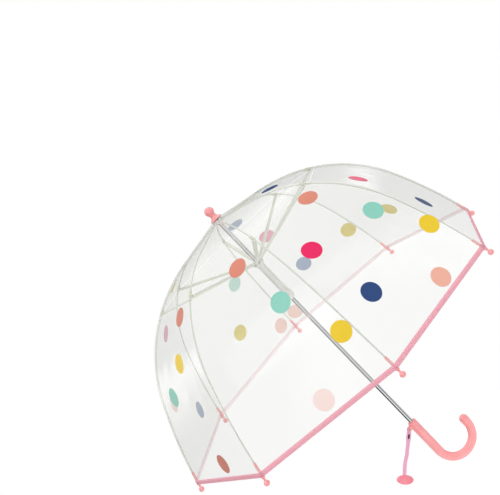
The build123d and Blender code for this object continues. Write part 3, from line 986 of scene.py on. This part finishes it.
strap_pivot = Vector((-0.013, 0, 0.028))
lug_radius = 0.0036
cheek_span = (0.0014, 0.0036)
lug_root_x = -0.0068
outline = [Vector((lug_root_x, 0, strap_pivot.z + lug_radius))]
outline += [
    strap_pivot + Vector((cos(radians(turn)), 0, sin(radians(turn)))) * lug_radius
    for turn in range(90, 271, 15)
]
outline.append(Vector((lug_root_x, 0, strap_pivot.z - lug_radius)))
points = []
faces = []
for way in (-1, 1):
    start = len(points)
    size = len(outline)
    for depth in cheek_span:
        points += [spot + Vector((0, way * depth, 0)) for spot in outline]
    low = tuple(range(start, start + size))
    high = tuple(range(start + size, start + 2 * size))
    sides = [(low[i - 1], high[i - 1], high[i], low[i]) for i in range(size)]
    faces += [face[::way] for face in [low, high[::-1]] + sides]
lug = mesh_object("strap_lug", points, faces)
lug.data.polygons.foreach_set("use_smooth", [False] * len(lug.data.polygons))
softened = lug.modifiers.new("moulded_edges", "BEVEL")
softened.width = 0.0004
softened.segments = 3
lug.data.materials.append(pink_abs)
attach(lug, "root")

pin_profile = (
    (-0.0044, 0), (-0.0043, 0.001), (-0.0039, 0.0017), (-0.0036, 0.0018), (-0.0036, 0.0012),
    (0.0036, 0.0012), (0.0036, 0.0018), (0.0039, 0.0017), (0.0043, 0.001), (0.0044, 0),
)
lug_pin = turned_piece("lug_pin", pin_profile, strap_pivot, Vector((0, 1, 0)), sides=20)
lug_pin.data.materials.append(spring_steel)
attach(lug_pin, "root")


# ---------------------------------------------------------------------------------------------
# Strap: a soft pink PVC band that hangs from the lug, with a black keeper in its slot and a
# firm oval toggle on its end that pushes through the slot when the umbrella is rolled up.

# Plasticised PVC: soft gloss, a little see-through, with a fine moulded grain about 1 mm across
soft_pvc, tree = new_material("plasticised_PVC_band")
space = add_node(tree, "ShaderNodeTexCoord")
grain = add_node(tree, "ShaderNodeTexNoise", {
    "Vector": space.outputs["Object"],
    "Scale": 900,
    "Detail": 2,
})
shades = add_node(tree, "ShaderNodeValToRGB", {"Fac": grain.outputs["Fac"]})
set_stops(shades, [(0.3, linear("#E9A0C0")), (0.7, linear("#F2B2CD"))])
bump = add_node(tree, "ShaderNodeBump", {
    "Height": grain.outputs["Fac"],
    "Strength": 0.2,
    "Distance": 0.0002,
})
surface = add_node(tree, "ShaderNodeBsdfPrincipled", {
    "Base Color": shades.outputs["Color"],
    "Roughness": 0.4,
    "Alpha": 0.92,
    "Normal": bump.outputs["Normal"],
})
add_node(tree, "ShaderNodeOutputMaterial", {"Surface": surface.outputs["BSDF"]})
strap_hang = radians(49)
strap_heading = Vector((-sin(strap_hang), 0, -cos(strap_hang)))
strap_side = Vector((-cos(strap_hang), 0, sin(strap_hang)))
strap_run = 0.095
strap_curve = ((0, 0), (0.022, 0), (0.045, 0.0006), (0.066, 0.003), (0.084, 0.0024), (strap_run, 0))
strap_widths = (
    (-0.0046, 0.0008), (-0.0042, 0.0019), (-0.003, 0.0035),
    (0, 0.0046), (0.004, 0.0039), (0.008, 0.0042),
    (0.012, 0.0046), (0.018, 0.0046), (0.022, 0.0041), (0.026, 0.0036), (strap_run, 0.0036),
)
band_half_thickness = 0.0011


def read_between(pairs, at):
    """The value at this place in a list of (place, value) pairs, eased between them."""
    for (first, low), (last, high) in zip(pairs, pairs[1:]):
        if at <= last:
            share = max(0.0, (at - first) / (last - first))
            return low + (high - low) * share * share * (3 - 2 * share)
    return pairs[-1][1]


band_steps = 90
band_sides = 20
band_flatness = 0.4
band_back = 0.0046
band_section = [
    (sin(2 * pi * i / band_sides), cos(2 * pi * i / band_sides)) for i in range(band_sides)
]
points = []
for step in range(band_steps + 1):
    along = -band_back + (strap_run + band_back) * step / band_steps
    width = read_between(strap_widths, along)
    centre = strap_pivot + strap_heading * along + strap_side * read_between(strap_curve, along)
    for up, over in band_section:
        flat_up = abs(up) ** band_flatness * (1 if up > 0 else -1)
        lift = Vector((0, flat_up * band_half_thickness, 0))
        points.append(centre + strap_side * (over * width) + lift)
size = len(band_section)
faces = [
    (row + i, row + (i + 1) % size, row + size + (i + 1) % size, row + size + i)
    for row in range(0, band_steps * size, size)
    for i in range(size)
]
faces += [tuple(range(size))[::-1], tuple(range(band_steps * size, len(points)))]
band = mesh_object("strap_band", points, faces)
band.data.materials.append(soft_pvc)
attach(band, "strap")
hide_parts("strap")

# Firm PVC, moulded over the band's end: deeper pink and glossier
toggle_pvc, tree = new_material("firm_PVC_toggle")
space = add_node(tree, "ShaderNodeTexCoord")
flow = add_node(tree, "ShaderNodeTexNoise", {
    "Vector": space.outputs["Object"],
    "Scale": 120,
    "Detail": 2,
})
shades = add_node(tree, "ShaderNodeValToRGB", {"Fac": flow.outputs["Fac"]})
set_stops(shades, [(0.3, linear("#EE808F")), (0.7, linear("#F6929F"))])
surface = add_node(tree, "ShaderNodeBsdfPrincipled", {
    "Base Color": shades.outputs["Color"],
    "Roughness": 0.32,
    "IOR": 1.53,
})
add_node(tree, "ShaderNodeOutputMaterial", {"Surface": surface.outputs["BSDF"]})
toggle_shape = (
    (0, -0.0026), (0.35, -0.0027), (0.7, -0.003), (0.86, -0.0028),
    (0.95, -0.0021), (0.99, -0.0011), (1, 0),
    (0.99, 0.0011), (0.95, 0.0021), (0.86, 0.0028), (0.7, 0.003), (0.35, 0.0027), (0, 0.0026),
)
toggle_reach = (0.009, 0.0165)
# Black rubber keeper ring in the slot: matt, dusty from the mould
keeper_rubber, tree = new_material("black_rubber")
space = add_node(tree, "ShaderNodeTexCoord")
dust = add_node(tree, "ShaderNodeTexNoise", {
    "Vector": space.outputs["Object"],
    "Scale": 1200,
    "Detail": 2,
})
shades = add_node(tree, "ShaderNodeValToRGB", {"Fac": dust.outputs["Fac"]})
set_stops(shades, [(0.3, linear("#161416")), (0.7, linear("#2A2629"))])
surface = add_node(tree, "ShaderNodeBsdfPrincipled", {
    "Base Color": shades.outputs["Color"],
    "Roughness": 0.75,
})
add_node(tree, "ShaderNodeOutputMaterial", {"Surface": surface.outputs["BSDF"]})
keeper_shape = (
    (0, -0.0014), (0.6, -0.0015), (0.88, -0.0013), (1, -0.0008),
    (1, 0.0008), (0.88, 0.0013), (0.6, 0.0015), (0, 0.0014),
)
keeper_reach = (0.0055, 0.002)
keeper_at = 0.0135
oval_sides = 40
for name, shape, reach, along, material in (
    ("strap_toggle", toggle_shape, toggle_reach, strap_run, toggle_pvc),
    ("slot_keeper", keeper_shape, keeper_reach, keeper_at, keeper_rubber),
):
    middle = strap_pivot + strap_heading * along
    points = []
    starts = []
    for share, depth in shape:
        count = oval_sides if share else 1
        starts.append(range(len(points), len(points) + count))
        for step in range(count):
            turn = 2 * pi * step / oval_sides
            across = strap_heading * (cos(turn) * reach[0]) + strap_side * (sin(turn) * reach[1])
            points.append(middle + across * share + Vector((0, depth, 0)))
    part = mesh_object(name, points, ring_faces(starts, oval_sides))
    part.data.materials.append(material)
    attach(part, "strap")
